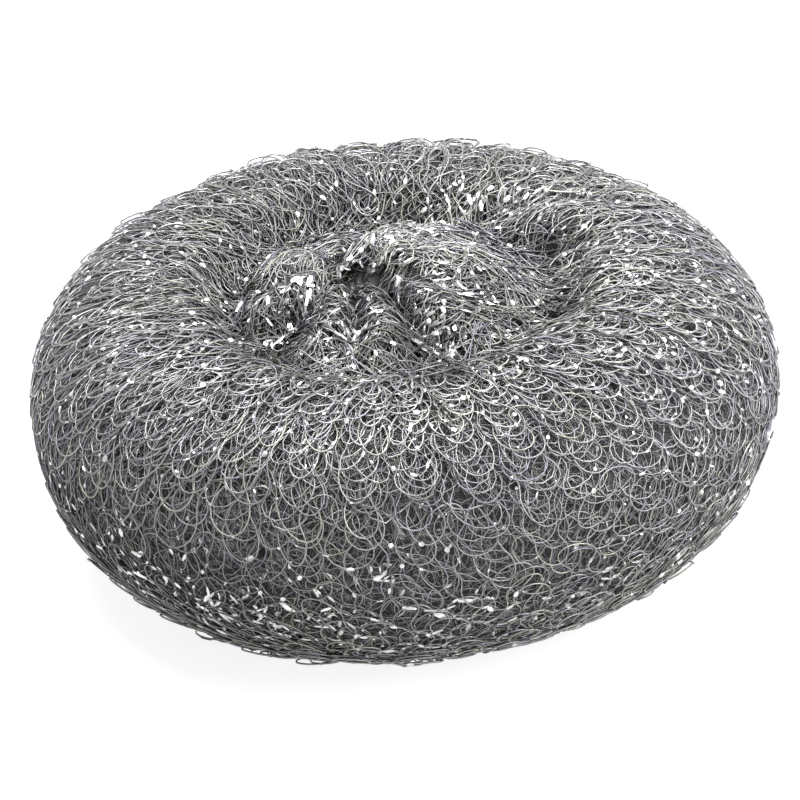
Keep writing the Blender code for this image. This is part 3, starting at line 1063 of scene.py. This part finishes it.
class SCOURER_OT_core(bpy.types.Operator):
    """Makes the dark core that fills the pad under the knit."""

    bl_idname = "scourer.core"
    bl_label = "Core"

    def execute(self, context):
        sizes = context.scene.knit_sizes
        bm = bmesh.new()
        alongs = np.linspace(CORE_MARGIN, SLEEVE_END - CORE_MARGIN, CORE_ROWS + 1)
        first = [bm.verts.new((along, 0.0, 0.0)) for along in alongs]
        line = first + [bm.edges.new(pair) for pair in zip(first, first[1:])]
        steps = CORE_COLUMNS * sizes.wales
        bmesh.ops.spin(bm, geom=line, cent=(0, 0, 0), axis=(0, 0, 1), angle=math.tau, steps=steps, use_merge=True)
        weld(bm)
        flat = np.array([vertex.co for vertex in bm.verts])
        turn, along = np.arctan2(flat[:, 1], flat[:, 0]), np.hypot(flat[:, 0], flat[:, 1])
        points, _ = surface(turn, along, np.full(len(flat), -sizes.core_depth))
        points[:, 2] = np.maximum(points[:, 2], CORE_CLEARANCE)
        for vertex, point in zip(bm.verts, points):
            vertex.co = point
        bmesh.ops.recalc_face_normals(bm, faces=bm.faces)
        mesh = mesh_of(bm, "deep_wire_core")
        mesh.shade_smooth()
        piece = add_piece("deep_wire_core", mesh, deep_material(context.scene.wire_look))
        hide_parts(PAD_NODE)
        return {"FINISHED"}


class SCOURER_OT_knit(bpy.types.Operator):
    """Knits the layers of wire, lays them round the pad and adds their turned flats."""

    bl_idname = "scourer.knit"
    bl_label = "Knit"

    def execute(self, context):
        sizes, look = context.scene.knit_sizes, context.scene.wire_look
        layers = knit_layers(sizes)
        wire, glinting = wire_material(look), glint_flat_material(look)
        for layer in layers:
            mesh = lay_layer(layer, sizes)
            close_wire(mesh)
            add_piece(layer.name, mesh, wire)
        for layer in layers[:FLAT_LAYERS]:
            add_piece(f"flats_of_{layer.name}", turned_flats(layer, sizes), glinting)
        return {"FINISHED"}


def seen_rays(tree):
    """1 for rays that see the background: the camera's and those that metal or glass sends on."""
    rays = tree.nodes.new("ShaderNodeLightPath")
    sent_on = math_node(tree, "MAXIMUM", rays.outputs["Is Glossy Ray"], rays.outputs["Is Transmission Ray"])
    return math_node(tree, "MAXIMUM", rays.outputs["Is Camera Ray"], sent_on)


def add_floor():
    """The pale floor under the pad, which shows nearly white."""
    bm = bmesh.new()
    bmesh.ops.create_grid(bm, x_segments=1, y_segments=1, size=FLOOR_REACH)
    mesh = mesh_of(bm, "floor")
    floor = new_object("floor", mesh)
    material, tree, shader = new_material("pale_floor", metallic=0.0, roughness=0.9)
    shader.inputs["Base Color"].default_value = (FLOOR_TONE, FLOOR_TONE, FLOOR_TONE, 1.0)
    shader.inputs["Emission Color"].default_value = (1.0, 1.0, 1.0, 1.0)
    feed(tree, shader.inputs["Emission Strength"], math_node(tree, "MULTIPLY", seen_rays(tree), FLOOR_GLOW))
    mesh.materials.append(material)


def add_world(scene, strength):
    """The studio's even light, white where it is seen."""
    world = bpy.data.worlds.new("studio")
    scene.world = world
    world.use_nodes = True
    tree = world.node_tree
    even, white = tree.nodes["Background"], tree.nodes.new("ShaderNodeBackground")
    for shade in (even, white):
        shade.inputs["Color"].default_value = (1.0, 1.0, 1.0, 1.0)
    even.inputs["Strength"].default_value = strength
    mix = add_node(tree, "ShaderNodeMixShader", Fac=seen_rays(tree))
    tree.links.new(even.outputs[0], mix.inputs[1])
    tree.links.new(white.outputs[0], mix.inputs[2])
    tree.links.new(mix.outputs[0], tree.nodes["World Output"].inputs["Surface"])


def add_lamp(name, power, place):
    """A soft square lamp that shines on the pad."""
    lamp = bpy.data.lights.new(name, "AREA")
    lamp.energy = power
    lamp.size = LAMP_SIZE
    obj = new_object(name, lamp)
    obj.location = place
    obj.rotation_euler = Vector(place).to_track_quat("Z", "Y").to_euler()


def add_camera(scene):
    """The camera, at the angle and distance from which the pad is seen."""
    elevation, roll = math.radians(CAMERA_ELEVATION), math.radians(CAMERA_ROLL)
    away = Vector((0, -math.cos(elevation), math.sin(elevation)))
    camera = bpy.data.cameras.new("camera")
    obj = new_object("camera", camera)
    turned = away.to_track_quat("Z", "Y").to_matrix() @ Matrix.Rotation(-roll, 3, "Z")
    obj.rotation_euler = turned.to_euler()
    obj.location = CAMERA_TARGET + away * CAMERA_DISTANCE
    camera.sensor_width = SENSOR_WIDTH
    camera.lens = PIXELS_PER_METRE * CAMERA_DISTANCE * SENSOR_WIDTH / FRAME_PIXELS
    camera.shift_x = 0.5 - TARGET_PIXEL[0] / FRAME_PIXELS
    camera.shift_y = TARGET_PIXEL[1] / FRAME_PIXELS - 0.5
    scene.camera = obj


class SCOURER_OT_stage(bpy.types.Operator):
    """Sets the pale floor, the soft light and the camera."""

    bl_idname = "scourer.stage"
    bl_label = "Stage"

    def execute(self, context):
        scene = context.scene
        look = scene.stage_look
        add_floor()
        add_world(scene, look.world_strength)
        for name, power, place in LAMPS:
            add_lamp(name, getattr(look, power), place)
        add_camera(scene)
        scene.view_settings.view_transform = "Standard"
        return {"FINISHED"}


class SCOURER_PT_panel(bpy.types.Panel):
    """Lists the sizes, the looks and the steps."""

    bl_idname = "SCOURER_PT_panel"
    bl_label = "Scourer"
    bl_space_type = "VIEW_3D"
    bl_region_type = "UI"
    bl_category = "Scourer"

    def draw(self, context):
        for group in (context.scene.knit_sizes, context.scene.wire_look, context.scene.stage_look):
            box = self.layout.box()
            for name in group.__annotations__:
                box.prop(group, name)
        for operator in (SCOURER_OT_core, SCOURER_OT_knit, SCOURER_OT_stage):
            self.layout.operator(operator.bl_idname)


CLASSES = (KnitSizes, WireLook, StageLook, SCOURER_OT_core, SCOURER_OT_knit, SCOURER_OT_stage, SCOURER_PT_panel)


def register():
    """Registers the classes and gives the scene its settings."""
    for cls in CLASSES:
        bpy.utils.register_class(cls)
    bpy.types.Scene.knit_sizes = bpy.props.PointerProperty(type=KnitSizes)
    bpy.types.Scene.wire_look = bpy.props.PointerProperty(type=WireLook)
    bpy.types.Scene.stage_look = bpy.props.PointerProperty(type=StageLook)


def unregister():
    """Takes the settings and the classes away."""
    del bpy.types.Scene.stage_look
    del bpy.types.Scene.wire_look
    del bpy.types.Scene.knit_sizes
    for cls in reversed(CLASSES):
        bpy.utils.unregister_class(cls)


def main():
    """Builds the pad and its stage."""
    register()
    bpy.ops.scourer.core()
    bpy.ops.scourer.knit()
    bpy.ops.scourer.stage()


if __name__ == "__main__":
    main()
